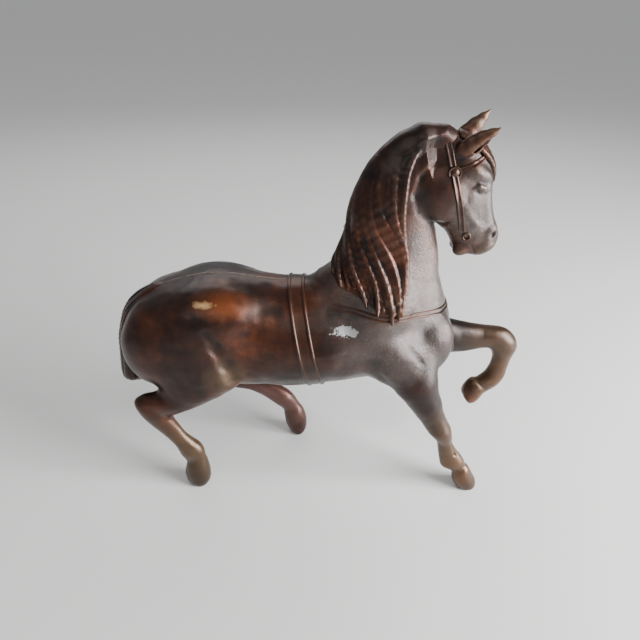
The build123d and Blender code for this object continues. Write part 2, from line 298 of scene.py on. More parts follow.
NECK = [
    (8, 140, 96, 116, 30, 0),
    (-2, 166.5, 94, 137, 28.5, 0),
    (6.5, 178.5, 88.5, 154, 25.5, 0),
    (14, 190, 82.5, 171, 21.5, 0),
    (18.5, 203, 80, 188, 18, 0),
    (20, 222, 76.5, 203, 16.5, 0),
    (30, 246.5, 74, 209, 15.5, 0),
    (44, 261, 73, 213, 14, 0),
    (60, 268.5, 74, 216, 13, 0),
]
HEAD = [
    (70, 214, 61, 268, 10, 0),
    (72, 212, 75, 269.5, 11.5, 0),
    (74.5, 210.5, 89, 266, 13, 0),
    (77, 208.5, 100.5, 257, 14, 0),
    (79, 207, 107.5, 244, 14, 0),
    (81, 205.5, 109.3, 231, 11.5, 0),
    (83.5, 202.5, 111.5, 220, 9.8, 0),
    (86, 198, 115, 210.5, 9.2, 0),
    (88.5, 193.5, 118, 203.5, 9.4, 0),
    (92, 189.8, 117.5, 197.5, 9.0, 0),
    (97, 188.2, 112, 192, 6.0, 0),
]
TAIL = [
    (-108, 163, -101, 150, 5, 0),
    (-117, 161.5, -108, 146, 9, 0),
    (-129, 155, -116, 140, 13.5, 0),
    (-138.5, 145.5, -122, 133, 15, 0),
    (-144.5, 133, -126, 126, 15, 0),
    (-147.5, 117, -129, 115, 15.8, 0),
    (-149, 98, -131, 98, 16, 0),
    (-149.5, 90, -132, 90, 15.5, 0),
    (-149.5, 86.5, -132, 86.5, 12, 0),
    (-149, 83, -132, 83, 8, 0),
    (-148.5, 80.3, -132.5, 80.3, 4.2, 0),
    (-147.5, 78.8, -133.5, 78.8, 1.5, 0),
]
FORELEG_RIGHT = [
    (40, 125, 74, 134, 8, -19),
    (46, 106, 81, 119, 12, -25.5),
    (54, 93, 84, 106, 12.5, -29),
    (61, 85, 86, 94, 11.4, -30),
    (68, 76, 89, 85, 9.8, -31),
    (75, 66.5, 92.5, 73, 8.2, -31.5),
    (79.5, 60, 96.5, 64, 7.6, -32),
    (83.5, 54.5, 99.3, 58.5, 7.9, -32),
    (88.5, 48.5, 101, 51, 6.6, -32),
    (90.5, 42.5, 101.8, 45.5, 5.0, -32),
    (92, 34, 105.5, 38, 4.9, -32),
    (93.8, 27, 110, 32, 5.8, -32),
    (96, 21.5, 113, 27, 6.5, -32),
    (103.5, 17.5, 114.5, 23.5, 5.0, -32),
    (105.3, 14, 117.5, 20.5, 6.8, -32),
    (106, 9, 121.5, 13, 7.9, -32),
    (107.5, 4.5, 124.8, 6, 8.0, -32),
    (110, 0.8, 125.5, 0.8, 7.2, -32),
    (111.5, 0, 124.5, 0, 6.6, -32),
]
FORELEG_LEFT = [
    (62, 106, 80, 138, 12, 18),
    (79, 96, 90, 128, 12.8, 20.5),
    (96, 92.5, 101, 122.5, 12, 22),
    (111, 93, 114.5, 118.5, 10, 22.8),
    (124, 95.5, 128, 116, 8.6, 23),
    (132, 96.5, 143, 114.5, 8.0, 23),
    (136, 95, 152, 108.5, 8.4, 23),
    (138.5, 91, 157.3, 99, 7.8, 23),
    (139.5, 86, 155, 88.5, 6.2, 23),
    (138.5, 78.5, 153.2, 78, 5.4, 23),
    (136, 71.5, 152.3, 68.5, 6.4, 23),
    (132.5, 67.5, 148.5, 60, 6.6, 23),
    (129, 65.5, 142.5, 54, 5.4, 23),
    (126, 65, 138, 50.5, 7.2, 23),
    (122.5, 61.5, 134.5, 44, 8.0, 23),
    (120, 56.5, 131, 40.8, 8.0, 23),
    (119.2, 52, 127.5, 40.5, 7.2, 23),
    (119.8, 50.3, 126, 41.5, 6.2, 23),
]
HINDLEG_RIGHT = [
    (-128, 128, -70, 146, 12, -22),
    (-124, 112, -64, 124, 14, -26),
    (-118, 101, -62, 107, 14.5, -28),
    (-115, 94, -67, 92, 13, -29.5),
    (-117.5, 89.5, -82, 81.5, 11, -30),
    (-123, 87.5, -97, 74.5, 9.4, -31),
    (-129, 86.5, -107.5, 69.5, 8.2, -31),
    (-135, 81.5, -109, 66.5, 8.0, -31),
    (-133, 72.5, -108, 64.5, 7.4, -31),
    (-127.5, 62.5, -104.5, 57, 6.0, -31),
    (-120, 53.5, -100.5, 50, 5.3, -31),
    (-114.5, 46.5, -96, 44.5, 5.4, -31),
    (-110, 39.5, -91, 39.5, 6.3, -31),
    (-107, 31.5, -88.5, 34.5, 6.8, -31),
    (-103.6, 23.5, -88, 29.5, 5.3, -31),
    (-104, 18.5, -86.8, 23.5, 7.0, -31),
    (-105.8, 11, -85.6, 14, 8.2, -31),
    (-105, 4.5, -85.8, 6, 8.2, -31),
    (-101.5, 0.8, -88, 0.8, 7.2, -31),
    (-100, 0, -89.5, 0, 6.6, -31),
]
HINDLEG_LEFT = [
    (-122, 126, -66, 144, 12, 22),
    (-112, 108, -58, 112, 14, 26),
    (-100, 90, -58, 93, 12.5, 28.5),
    (-92, 74, -64, 80, 10, 29.5),
    (-87, 57, -68, 69, 8.4, 30),
    (-76, 50.5, -62, 61, 7.0, 30),
    (-61, 46.5, -52, 57.5, 5.8, 30),
    (-51, 42, -41, 53.5, 5.4, 30),
    (-44, 37, -31, 48, 6.0, 30),
    (-38, 32, -23, 41, 6.8, 30),
    (-31.5, 25.5, -17.5, 31, 5.4, 30),
    (-30.5, 20, -14, 25, 7.0, 30),
    (-29.5, 12.5, -11.2, 15.5, 8.2, 30),
    (-27.5, 5.5, -11, 6.5, 8.2, 30),
    (-24, 0.8, -13, 0.8, 7.2, 30),
    (-22.5, 0, -14.5, 0, 6.6, 30),
]


def torso_rows():
    """The torso's table in the form that the other members have."""
    return [(x, low, x, top, width, 0, narrow, square) for x, top, low, width, narrow, square in TORSO]


def on_side(side, points):
    """Points drawn on the horse's left, moved to a side: 1 for the left, -1 for the right."""
    return [(x, y * side, z) for x, y, z in points]


def sculpt_body(clay):
    """Barrel, rump, shoulders, chest and neck."""
    clay.loft(torso_rows(), k=2, steps=3)
    clay.loft(NECK, k=13)
    for side in (-1, 1):
        # Croup, buttock and thigh
        clay.blob((-76, 21 * side, 145.5), (34, 19.5, 20.5), k=9, turn=4)
        clay.blob((-112, 20 * side, 124), (28, 20, 31), k=9, turn=-8)
        clay.blob((-84, 28 * side, 118), (21, 15, 29), k=8, turn=26)
        clay.blob((-68, 33 * side, 106), (9.5, 8, 11.5), k=6, turn=20)
        # Flank hollow and the crease in front of the thigh
        clay.blob((-50, 46 * side, 130), (9, 5, 24), k=-9, turn=-14)
        fold = [(-75, 43.5, 146), (-69, 43.5, 134), (-63, 43, 121), (-59, 41, 107)]
        clay.chain(on_side(side, fold), (1.2, 2.8, 3.8, 4.0), k=-5)
        # Shoulder blade, upper arm and elbow
        clay.blob((40, 23 * side, 146), (15, 13, 30), k=9, turn=-34)
        clay.blob((52, 27 * side, 117), (19, 12.5, 20), k=8, turn=28)
        clay.blob((23, 43 * side, 118), (7, 4, 22), k=-8, turn=-20)
        # Breast muscles
        clay.blob((77.5, 14.5 * side, 125), (17.5, 14.5, 24.5), k=4.5, turn=-8)
        # Crease between shoulder and breast, and the one behind the elbow
        fold = [(49, 37.5, 153), (57, 36.5, 142), (63, 36.5, 132), (70, 35, 121), (80, 33, 108)]
        clay.chain(on_side(side, fold), (0.6, 1.0, 1.4, 1.8, 1.6), k=-3.5)
        fold = [(34, 40.5, 122), (41, 40, 110), (51, 38, 99)]
        clay.chain(on_side(side, fold), (0.8, 1.4, 1.8), k=-5)
    # Groove between the breast muscles, with the two open places of the casting seam
    clay.limb((97.5, 0, 136), (98.5, 0, 96), 1.6, 2.6, k=-5)
    clay.limb((84.9, -0.5, 164.6), (91.9, -0.5, 150.2), 1.4, 1.4, k=-0.8)
    clay.limb((95.2, -0.5, 138.5), (95.8, -0.5, 135.5), 1.3, 1.3, k=-0.8)


def sculpt_legs(clay):
    """The four legs with knees, tendons, fetlocks and hooves."""
    clay.loft(FORELEG_RIGHT, k=6)
    clay.loft(FORELEG_LEFT, k=6)
    clay.loft(HINDLEG_RIGHT, k=6)
    clay.loft(HINDLEG_LEFT, k=6)
    # Open seam down the front of the right cannon
    clay.limb((100.4, -36.4, 48.0), (104.6, -35.8, 35.5), 1.2, 1.2, k=-0.8)
    # Everything stands on the ground
    found = clay.window((-200, -60, -10), (200, 60, 12))
    if found:
        slices, _, _, z = found
        clay.d[slices] = np.maximum(clay.d[slices], -z)


def sculpt_head(clay):
    """Skull, cheeks, eyes, muzzle and ears."""
    clay.loft(HEAD, k=6)
    for side in (-1, 1):
        # Cheek with the crease behind it
        clay.blob((76, 8.2 * side, 231), (15.5, 8.2, 17.5), k=3, turn=-14)
        crease = [(68, 12.5, 252), (61, 15.5, 243), (58.5, 17, 232), (62, 17, 221), (70, 14, 213)]
        clay.chain(on_side(side, crease), (0.8, 1.8, 2.2, 2.0, 1.2), k=-2.5)
        # Brow, cheek bone and the bridge of the nose
        clay.blob((96, 9.4 * side, 246), (9.5, 4.6, 4.6), k=3, turn=-28)
        clay.limb((86, 12.4 * side, 229), (100, 8.8 * side, 212), 2.2, 1.0, k=3)
        clay.limb((102, 6.5 * side, 236), (108, 4.5 * side, 214), 2.6, 2.0, k=4)
        # Eye socket, eyeball and upper lid
        clay.blob((98.4, 15.4 * side, 235.2), (4.0, 2.4, 2.7), k=-2, turn=-22)
        clay.blob((98.4, 12.0 * side, 235.0), (2.5, 1.7, 1.7), k=0.6, turn=-22)
        lid = [(94.8, 12.9, 236.6), (97.4, 13.6, 238), (100.4, 13.0, 237), (102.6, 11.4, 234.6)]
        clay.chain(on_side(side, lid), (0.5, 0.9, 0.9, 0.4), k=2.2)
        # Nostril, lips and the corner of the mouth
        clay.blob((111, 5.4 * side, 205.5), (3.8, 3.6, 5.4), k=4, turn=-20)
        clay.blob((112.6, 9.4 * side, 204.6), (1.6, 2.6, 2.8), k=-1.4, turn=-35)
        clay.blob((108, 5.0 * side, 194.5), (7, 4, 4.2), k=4, turn=20)
        clay.blob((93, 5 * side, 192.5), (5, 4, 4.2), k=3)
        line = [(104.5, 10, 187.5), (101.5, 9.6, 192), (98.2, 9.6, 198)]
        clay.chain(on_side(side, line), (1.2, 0.9, 0.4), k=-1.2)
    clay.limb((104.5, -9, 187), (104.5, 9, 187), 1.3, 1.3, k=-1.5)
    sculpt_ear(clay, -1, (104, -13.5, 273))
    sculpt_ear(clay, 1, (104, 12, 278.5))


def sculpt_ear(clay, side, tip):
    """A leaf-shaped ear, drawn out to its tip and hollow on its outer front."""
    base, tip = Vector((82, 8.0 * side, 256)), Vector(tip)
    profile = ((0.0, 4.2), (0.2, 5.2), (0.4, 5.6), (0.6, 4.9), (0.8, 3.0), (1.0, 0.5))
    points = [tuple(base.lerp(tip, t)) for t, _ in profile]
    clay.chain(points, [r for _, r in profile], k=1.2, flat=0.55)
    hollow = [tuple(base.lerp(tip, t) + Vector((2.8, 1.4 * side, -2.0))) for t in (0.3, 0.55, 0.85)]
    clay.chain(hollow, (1.5, 1.6, 0.4), k=-1.0)


def sculpt_all(clay):
    """Every casting except tail, mane and harness."""
    sculpt_body(clay)
    sculpt_legs(clay)
    sculpt_head(clay)


# ---------------------------------------------------------------- meshes


def new_object(name, data):
    """An object in the scene with its mesh, light or camera."""
    thing = bpy.data.objects.new(name, data)
    bpy.context.scene.collection.objects.link(thing)
    return thing


def mesh_from(name, points, faces):
    """A mesh from points in sculpting millimetres."""
    mesh = bpy.data.meshes.new(name)
    placed = (np.asarray(points) + (SHIFT_X, 0, 0)) * MM
    mesh.from_pydata(placed.tolist(), [], [list(map(int, face)) for face in faces])
    mesh.validate()
    mesh.update()
    return mesh


def clay_bmesh(clay, rounds=0):
    """The clay's largest closed surface as a bmesh, with outward faces, smoothed a few times over."""
    points, triangles, quads = clay.faces()
    work = bmesh.new()
    mesh = mesh_from("clay", points, list(triangles) + list(quads))
    work.from_mesh(mesh)
    bpy.data.meshes.remove(mesh)
    keep_largest(work)
    for _ in range(rounds):
        axes = {f"use_axis_{axis}": True for axis in "xyz"}
        bmesh.ops.smooth_vert(work, verts=work.verts, factor=0.5, **axes)
    bmesh.ops.recalc_face_normals(work, faces=work.faces)
    return work


def keep_largest(work):
    """Deletes every loose part of a bmesh but the one with the most faces."""
    seen, parts = set(), []
    for start in work.faces:
        if start.index in seen:
            continue
        part, stack = [], [start]
        seen.add(start.index)
        while stack:
            face = stack.pop()
            part.append(face)
            for edge in face.edges:
                for other in edge.link_faces:
                    if other.index not in seen:
                        seen.add(other.index)
                        stack.append(other)
        parts.append(part)
    parts.sort(key=len)
    for part in parts[:-1]:
        bmesh.ops.delete(work, geom=part, context="FACES")


def finish_piece(name, work, nodes, material, flat_angle=50.0, clay=None):
    """Turns a bmesh into a shaded piece that stands for CAD nodes; its clay gives the relief."""
    mesh = bpy.data.meshes.new(name)
    work.to_mesh(mesh)
    work.free()
    if clay:
        points = np.empty(len(mesh.vertices) * 3)
        mesh.vertices.foreach_get("co", points)
        relief = clay.relief(points.reshape(-1, 3) / MM - (SHIFT_X, 0, 0))
        mesh.attributes.new("relief", "FLOAT", "POINT").data.foreach_set("value", relief)
    for polygon in mesh.polygons:
        polygon.use_smooth = True
    mesh.set_sharp_from_angle(angle=math.radians(flat_angle))
    mesh.materials.append(material)
    piece = new_object(name, mesh)
    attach(piece, "root")
    if nodes:
        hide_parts(*nodes)
    return piece


def piece_mesh(name, points, faces, keep):
    """A bmesh of the chosen faces, with its open edges closed by flat caps."""
    chosen = [faces[i] for i in np.flatnonzero(keep)]
    used = sorted({index for face in chosen for index in face})
    place = {index: i for i, index in enumerate(used)}
    work = bmesh.new()
    mesh = bpy.data.meshes.new(name)
    mesh.from_pydata(points[used].tolist(), [], [[place[index] for index in face] for face in chosen])
    mesh.update()
    work.from_mesh(mesh)
    bpy.data.meshes.remove(mesh)
    rim = [edge for edge in work.edges if edge.is_boundary]
    if rim:
        bmesh.ops.holes_fill(work, edges=rim, sides=0)
        caps = [face for face in work.faces if len(face.verts) > 5]
        bmesh.ops.triangulate(work, faces=caps, quad_method="BEAUTY", ngon_method="BEAUTY")
    bmesh.ops.recalc_face_normals(work, faces=work.faces)
    return work


def split_at(work, planes):
    """Adds edge loops where planes (point, normal, window test) cross a bmesh."""
    for point, normal, test in planes:
        faces = [face for face in work.faces if test(face.calc_center_median() / MM)]
        edges = {edge for face in faces for edge in face.edges}
        verts = {vert for face in faces for vert in face.verts}
        co = (Vector(point) + Vector((SHIFT_X, 0, 0))) * MM
        geom = list(verts) + list(edges) + faces
        bmesh.ops.bisect_plane(work, geom=geom, plane_co=co, plane_no=Vector(normal), dist=1e-6)


def arrays(work):
    """Points in metres, faces as index lists, and face centres in sculpting millimetres."""
    mesh = bpy.data.meshes.new("arrays")
    work.to_mesh(mesh)
    points = np.empty(len(mesh.vertices) * 3)
    mesh.vertices.foreach_get("co", points)
    points = points.reshape(-1, 3)
    faces = [list(polygon.vertices) for polygon in mesh.polygons]
    centres = np.empty(len(mesh.polygons) * 3)
    mesh.polygons.foreach_get("center", centres)
    centres = centres.reshape(-1, 3) / MM - (SHIFT_X, 0, 0)
    bpy.data.meshes.remove(mesh)
    return points, faces, centres


# Where the castings part: legs under LEG_Z, the raised foreleg ahead of ARM_X, the head at the throat
LEG_Z = 83.8
ARM_X = 101.0
THROAT = ((70, 0, 214), (0.985, 0, 0.175))
THROAT_Z = 213.0
CHIN_X = 83.0
LEG_SPLIT = {"foreleg_right": -29.4, "foreleg_left": 21.3, "hindleg_right": -28.7, "hindleg_left": 27.7}


def head_side(x, z):
    """True where a point belongs to the head."""
    past = (x - THROAT[0][0]) * THROAT[1][0] + (z - THROAT[0][2]) * THROAT[1][2] > 0
    return past & (z > 180) & ((z > THROAT_Z) | (x > CHIN_X))


def leg_of(x, y, z):
    """The leg that a point belongs to, as masks by name."""
    low = z < LEG_Z
    return {
        "foreleg_left": (y > 0) & (x > ARM_X) & (z < 140),
        "foreleg_right": low & (y < 0) & (x > 0),
        "hindleg_right": low & (y < 0) & (x < 0),
        "hindleg_left": low & (y > 0) & (x < 0) & (x > -110),
    }


# ---------------------------------------------------------------- materials

BRONZE_DARK = (0.013, 0.0060, 0.0042)
BRONZE_BROWN = (0.046, 0.0150, 0.0078)
BRONZE_RED = (0.125, 0.0340, 0.0130)
SOOT = (0.006, 0.004, 0.003)
RUBBED = (0.21, 0.125, 0.068)
OLIVE = (0.105, 0.066, 0.036)
PINK = (0.21, 0.098, 0.078)
AMBER = (0.30, 0.075, 0.014)
# Colour of real dust, also used for the pale specks of painted sparkle on the grain
DUST_AND_SPARKLE = (0.15, 0.125, 0.11)
# A grey painted as the silvery sheen of window-lit bronze
PAINTED_SHEEN_GREY = (0.075, 0.060, 0.052)
BARE_METAL = (0.46, 0.48, 0.47)
GILT = (0.95, 0.60, 0.27)
STEEL = (0.46, 0.44, 0.42)
SOLDER = (0.30, 0.24, 0.20)
WHITEWASH = (0.72, 0.71, 0.69)

# Noise in features a metre, with its detail and its roughness
BROAD_NOISE = (14, 4, 0.55)
CLOUD_NOISE = (75, 8, 0.68)
FINE_NOISE = (650, 6, 0.75)
TARNISH_NOISE = (300, 6, 0.6)

COAT, COAT_ROUGH = 0.3, 0.24  # the lacquer over the patina
BRONZE_BUMP, PLAIN_BUMP = 0.0005, 0.0002  # depth of the grain, in metres

# Places on the body: centre, radii, raggedness and scale of the ragged edge, in sculpting millimetres
SILVER_PATCH = ((17, -34, 144.3), (12, 10, 4.6), 2.6, 330.0)
# Places where a grey tone and pale specks are painted as the silvery sheen and sparkle of the window light, and
# the bronze is glossier and grainier
SHEEN_PLACES = [((52, -10, 155), (62, 60, 68), 0.4, 60.0), ((100, 0, 226), (24, 30, 44), 0.4, 90.0)]
# Each with its tone, the ends of its soft edge, and how much of it shows
WORN = [
    (((100, -30, 30), (60, 30, 62), 0.5, 40.0), OLIVE, 0.0, 0.8, 0.75),
    (((-105, -32, 35), (48, 20, 48), 0.5, 40.0), OLIVE, 0.0, 0.8, 0.8),
    (((140, 23, 80), (45, 25, 60), 0.5, 40.0), OLIVE, 0.0, 0.8, 0.6),
    (((-40, 30, 36), (50, 20, 44), 0.5, 40.0), PINK, 0.0, 0.8, 0.6),
    (((-64, -40, 108), (20, 14, 20), 0.5, 90.0), OLIVE, 0.0, 1.0, 0.8),
    (((-66, -27, 160), (26, 16, 11), 0.5, 110.0), AMBER, 0.0, 1.0, 0.75),
    (((-42, -27, 157), (24, 14, 12), 1.2, 150.0), DUST_AND_SPARKLE, 0.2, 1.3, 0.30),
    (((-76, -30, 162.5), (12, 8, 3.6), 0.9, 260.0), GILT, 0.25, 0.8, 0.95),
]


class Graph:
    """A node material built around its Principled shader."""

    def __init__(self, name):
        self.material = bpy.data.materials.new(name)
        self.material.use_nodes = True
        self.nodes = self.material.node_tree.nodes
        self.links = self.material.node_tree.links
        self.inputs = self.nodes["Principled BSDF"].inputs

    def feed(self, socket, value):
        """Gives a socket a number, a colour or another node's output."""
        if isinstance(value, tuple):
            socket.default_value = (*value, 1)
        elif isinstance(value, (int, float)):
            socket.default_value = value
        else:
            self.links.new(value, socket)

    def set(self, **values):
        """Feeds the shader's sockets, named with _ for a space."""
        for name, value in values.items():
            self.feed(self.inputs[name.replace("_", " ")], value)

    def noise(self, scale, detail, rough):
        """A noise texture in object space."""
        coords = self.nodes.new("ShaderNodeTexCoord")
        texture = self.nodes.new("ShaderNodeTexNoise")
        texture.inputs["Scale"].default_value = scale
        texture.inputs["Detail"].default_value = detail
        texture.inputs["Roughness"].default_value = rough
        self.links.new(coords.outputs["Object"], texture.inputs["Vector"])
        return texture.outputs["Fac"]

    def ramp(self, value, *stops):
        """A colour ramp; stops are (position, grey or colour)."""
        node = self.nodes.new("ShaderNodeValToRGB")
        elements = node.color_ramp.elements
        while len(elements) < len(stops):
            elements.new(0.5)
        for element, (position, colour) in zip(elements, stops):
            element.position = position
            element.color = (*colour, 1) if isinstance(colour, tuple) else (colour, colour, colour, 1)
        self.links.new(value, node.inputs["Fac"])
        return node.outputs["Color"]

    def mix(self, factor, one, two):
        """Two colours mixed by a factor."""
        node = self.nodes.new("ShaderNodeMix")
        node.data_type = "RGBA"
        for index, value in ((0, factor), (6, one), (7, two)):
            self.feed(node.inputs[index], value)
        return node.outputs[2]

    def maths(self, operation, one, two, clamp=False):
        """One arithmetic node."""
        node = self.nodes.new("ShaderNodeMath")
        node.operation = operation
        node.use_clamp = clamp
        self.feed(node.inputs[0], one)
        self.feed(node.inputs[1], two)
        return node.outputs[0]

    def times(self, one, two, clamp=False):
        """The product of two values."""
        return self.maths("MULTIPLY", one, two, clamp)

    def plus(self, one, two, clamp=False):
        """The sum of two values."""
        return self.maths("ADD", one, two, clamp)

    def near(self, centre, radii, ragged, scale):
        """A ragged mask around a point given in sculpting millimetres."""
        coords = self.nodes.new("ShaderNodeTexCoord")
        mapping = self.nodes.new("ShaderNodeMapping")
        mapping.vector_type = "TEXTURE"
        mapping.inputs["Location"].default_value = (Vector(centre) + Vector((SHIFT_X, 0, 0))) * MM
        mapping.inputs["Scale"].default_value = Vector(radii) * MM
        length = self.nodes.new("ShaderNodeVectorMath")
        length.operation = "LENGTH"
        self.links.new(coords.outputs["Object"], mapping.inputs["Vector"])
        self.links.new(mapping.outputs["Vector"], length.inputs[0])
        wobble = self.times(self.noise(scale, 8.0, 0.7), ragged)
        reach = self.plus(length.outputs["Value"], wobble)
        return self.maths("SUBTRACT", 1.0 + ragged * 0.5, reach, clamp=True)

    def bump(self, height, strength, distance, *sockets):
        """Grain on the shader's normals."""
        node = self.nodes.new("ShaderNodeBump")
        node.inputs["Strength"].default_value = strength
        node.inputs["Distance"].default_value = distance
        self.links.new(height, node.inputs["Height"])
        for socket in sockets:
            self.links.new(node.outputs["Normal"], self.inputs[socket])


def surface_relief(graph, by_attribute):
    """Ridge and hollow masks, from the stored relief of a sculpted piece or from its own mesh."""
    if by_attribute:
        stored = graph.nodes.new("ShaderNodeAttribute")
        stored.attribute_name = "relief"
        value = stored.outputs["Fac"]
        ridge = graph.ramp(value, (0.30, 0.0), (0.95, 1.0))
        return ridge, graph.ramp(graph.times(value, -1.0), (0.02, 0.0), (0.45, 1.0))
    value = graph.nodes.new("ShaderNodeNewGeometry").outputs["Pointiness"]
    return graph.ramp(value, (0.51, 0.0), (0.62, 1.0)), graph.ramp(value, (0.40, 1.0), (0.49, 0.0))


def bronze(name, grain=0.25, rubbed_by=1.0, body=False, sculpted=True):
    """Brown patina over cast metal: red where thin, dark in the hollows, rubbed on the ridges."""
    graph = Graph(name)
    broad, cloud, fine = (graph.noise(*kind) for kind in (BROAD_NOISE, CLOUD_NOISE, FINE_NOISE))
    colour = graph.ramp(broad, (0.38, BRONZE_DARK), (0.52, BRONZE_BROWN), (0.68, BRONZE_RED))
    colour = graph.mix(graph.ramp(cloud, (0.35, 0.0), (0.70, 0.85)), colour, BRONZE_DARK)
    ridge, hollow = surface_relief(graph, sculpted)
    rubbed = graph.times(ridge, graph.times(cloud, 0.5 * rubbed_by), clamp=True)
    rough = graph.plus(0.20, graph.times(cloud, 0.34))
    height = graph.plus(graph.times(cloud, 1.5), fine)
    gloss = COAT
    if body:
        # Legs, flank and rump each have their own tone
        for place, tone, low, high, most in WORN:
            colour = graph.mix(graph.ramp(graph.near(*place), (low, 0.0), (high, most)), colour, tone)
        # The patina is gone from one patch of the shoulder
        patch = graph.ramp(graph.near(*SILVER_PATCH), (0.30, 0.0), (0.36, 1.0))
        colour = graph.mix(patch, colour, BARE_METAL)
        rough = graph.plus(rough, graph.times(patch, 0.25))
        # Shoulder, neck and head are greyer, gritty and glossy; the grey tone is a painted sheen, the silvery
        # look of the window light on them, and the pale grit specks are painted sparkle
        sheen_and_grain = 0.0
        for place in SHEEN_PLACES:
            sheen_and_grain = graph.maths("MAXIMUM", sheen_and_grain, graph.ramp(graph.near(*place), (0.0, 0.0), (0.5, 1.0)))
        colour = graph.mix(graph.times(sheen_and_grain, 0.55), colour, PAINTED_SHEEN_GREY)
        # Pale specks painted as the sparkle of the window light on the grain
        grit_and_sparkle = graph.times(graph.ramp(fine, (0.55, 0.0), (0.72, 0.8)), sheen_and_grain)
        colour = graph.mix(grit_and_sparkle, colour, DUST_AND_SPARKLE)
        gloss = graph.plus(graph.times(sheen_and_grain, 0.6), COAT)
        height = graph.plus(height, graph.times(sheen_and_grain, graph.times(fine, 7.0)))
    colour = graph.mix(rubbed, colour, RUBBED)
    colour = graph.mix(graph.times(hollow, 0.85), colour, SOOT)
    metal = graph.plus(0.62, graph.times(rubbed, 0.35), clamp=True)
    graph.set(Base_Color=colour, Roughness=rough, Metallic=metal, Specular_IOR_Level=0.3)
    graph.set(Coat_Weight=gloss, Coat_Roughness=COAT_ROUGH)
    graph.bump(height, grain, BRONZE_BUMP, "Normal", "Coat Normal")
    return graph.material


def plain_metal(name, colour, rough):
    """Dull pins and solder, with a cloudy tarnish."""
    graph = Graph(name)
    cloud = graph.noise(*TARNISH_NOISE)
    dark = tuple(value * 0.45 for value in colour)
    tarnish = graph.plus(rough - 0.1, graph.times(cloud, 0.3))
    tone = graph.ramp(cloud, (0.35, dark), (0.65, colour))
    graph.set(Base_Color=tone, Roughness=tarnish, Metallic=1.0)
    graph.bump(cloud, 0.3, PLAIN_BUMP, "Normal")
    return graph.material


def floor_paint():
    """The plain pale ground."""
    graph = Graph("floor")
    graph.set(Base_Color=WHITEWASH, Roughness=0.7)
    return graph.material


bronze_body = bronze("bronze_body", body=True)
bronze_hair = bronze("bronze_hair", rubbed_by=0.5)
bronze_strap = bronze("bronze_harness", grain=0.15, rubbed_by=0.8, sculpted=False)
pin_metal = plain_metal("pin_metal", STEEL, 0.45)
solder = plain_metal("solder", SOLDER, 0.55)


# ---------------------------------------------------------------- castings

BODY_VOXEL, HEAD_VOXEL = 0.8, 0.45  # in millimetres

body_clay = Clay((-158, -48, -2), (160, 48, 284), BODY_VOXEL)
sculpt_all(body_clay)
body_clay.soften()
body_work = clay_bmesh(body_clay)
at_legs = ((0, 0, LEG_Z), (0, 0, 1), lambda c: abs(c.z - LEG_Z) < 2 and c.x < ARM_X + 2)
at_arm = ((ARM_X, 0, 0), (1, 0, 0), lambda c: abs(c.x - ARM_X) < 2 and 80 < c.z < 140)
at_throat = (*THROAT, lambda c: c.z > THROAT_Z - 4)
at_middle = ((0, 0, 0), (0, 1, 0), lambda c: abs(c.y) < 2)
split_at(body_work, [at_legs, at_arm, at_throat, at_middle])
points, faces, centres = arrays(body_work)
surface = BVHTree.FromPolygons([Vector(point) for point in points], faces)
x, y, z = centres.T
legs = leg_of(x, y, z)
trunk = ~head_side(x, z) & ~np.any(list(legs.values()), axis=0)
for side, mask in (("right", y < 0), ("left", y > 0)):
    work = piece_mesh(f"shell_{side}", points, faces, trunk & mask)
    shell = [f"body_shell_{side}"]
    finish_piece(f"body_{side}", work, shell, bronze_body, clay=body_clay)
for name, mask in legs.items():
    outward = y > LEG_SPLIT[name] if name.endswith("left") else y < LEG_SPLIT[name]
    for half, chosen in (("outer", outward), ("inner", ~outward)):
        work = piece_mesh(name, points, faces, mask & chosen)
        piece, node = f"{name}_{half}_cast", f"{name}_{half}"
        finish_piece(piece, work, [node], bronze_body, clay=body_clay)

head_clay = Clay((50, -23, 181), (122, 23, 282), HEAD_VOXEL)
sculpt_all(head_clay)
head_clay.soften()
head_work = clay_bmesh(head_clay)
split_at(head_work, [at_throat, at_middle])
points, faces, centres = arrays(head_work)
head_surface = BVHTree.FromPolygons([Vector(point) for point in points], faces)
x, y, z = centres.T
on_head = head_side(x, z)
for side, mask in (("right", y < 0), ("left", y > 0)):
    work = piece_mesh(f"head_{side}", points, faces, on_head & mask)
    shell_and_ear = [f"head_shell_{side}", f"ear_{side}"]
    finish_piece(f"head_{side}", work, shell_and_ear, bronze_body, clay=head_clay)

# Inner pieces keep their CAD shape
for node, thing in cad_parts.items():
    if node.startswith("leg_pin") or node in ("shell_dowels", "belly_plug"):
        thing.data.materials.clear()
        thing.data.materials.append(pin_metal)


# ---------------------------------------------------------------- mane, forelock and tail

def cast_ray(tree, origin, direction):
    """Where a ray given in sculpting millimetres meets a surface, and its normal there, or None."""
    start = (Vector(origin) + Vector((SHIFT_X, 0, 0))) * MM
    hit, normal, _, _ = tree.ray_cast(start, Vector(direction).normalized())
    if hit is None:
        return None
    return hit / MM - Vector((SHIFT_X, 0, 0)), normal


def on_right_side(x, z, rise):
    """A point over the horse's right side, rise millimetres above its surface."""
    found = cast_ray(surface, (x, -80, z), (0, 1, 0))
    if found is None:
        start = (Vector((x, -3, z)) + Vector((SHIFT_X, 0, 0))) * MM
        hit, normal, _, _ = surface.find_nearest(start)
        found = hit / MM - Vector((SHIFT_X, 0, 0)), normal
    return found[0] + found[1] * rise


def resampled(points, count):
    """The same polyline through evenly spaced points, smoothed by a spline."""
    rows = np.array(refine(points, 6))
    steps = np.concatenate([[0], np.cumsum(np.linalg.norm(np.diff(rows, axis=0), axis=1))])
    at = np.linspace(0, steps[-1], count)
    return np.stack([np.interp(at, steps, rows[:, i]) for i in range(rows.shape[1])], axis=1)


